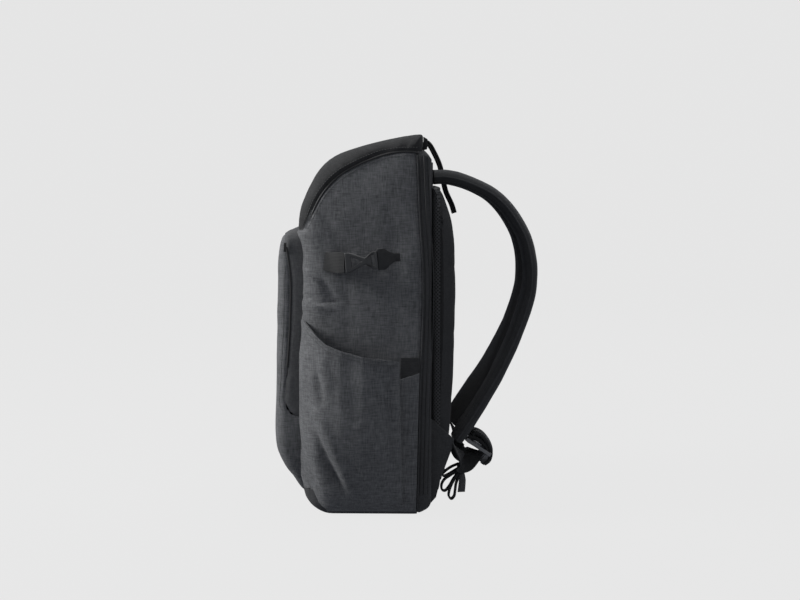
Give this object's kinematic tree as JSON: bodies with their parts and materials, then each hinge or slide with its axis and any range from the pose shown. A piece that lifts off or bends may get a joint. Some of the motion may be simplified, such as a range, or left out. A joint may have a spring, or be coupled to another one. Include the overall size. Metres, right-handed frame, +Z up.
{
  "type": "camera backpack",
  "caption": "Boxy padded camera backpack with a zipped lid, raised front pocket, side pockets, side strap, back pad and curved shoulder straps.",
  "frame": {"origin": "middle of the flat base between the two side panels, on the surface that the bag stands on", "axes": "+Z up, +Y towards the wearer's back and the shoulder straps, +X to the wearer's right"},
  "size_m": [0.3442, 0.3224, 0.4566],
  "materials": {
    "charcoal_fabric": "matt melange weave",
    "black_fabric": "matt plain weave",
    "strap_fabric": "matt padded cloth",
    "air_mesh": "matt spacer mesh",
    "webbing": "ribbed webbing",
    "buckle_plastic": "fine grain"
  },
  "bodies": {
    "root": {"main_body": "charcoal_fabric", "base_panel": "black_fabric", "rear_frame": "black_fabric", "lid": "black_fabric", "front_pocket": "charcoal_fabric", "front_pocket_gusset": "black_fabric", "front_zip_pull": "webbing", "back_pad": "air_mesh", "yoke": "black_fabric", "grab_handle": "webbing", "side_strap_front": "webbing", "side_strap_hook": "buckle_plastic", "side_strap_elastic": "webbing", "side_pocket_right": "charcoal_fabric", "pocket_elastic_right": "webbing", "wing_right": "black_fabric", "lid_tab_right": "webbing", "shoulder_strap_right": "strap_fabric", "strap_loop_right": "webbing", "ladder_lock_right": "buckle_plastic", "lower_webbing_right": "webbing", "webbing_tail_right": "webbing", "side_pocket_left": "charcoal_fabric", "pocket_elastic_left": "webbing", "wing_left": "black_fabric", "lid_tab_left": "webbing", "shoulder_strap_left": "strap_fabric", "strap_loop_left": "webbing", "ladder_lock_left": "buckle_plastic", "lower_webbing_left": "webbing", "webbing_tail_left": "webbing"}
  },
  "joints": []
}
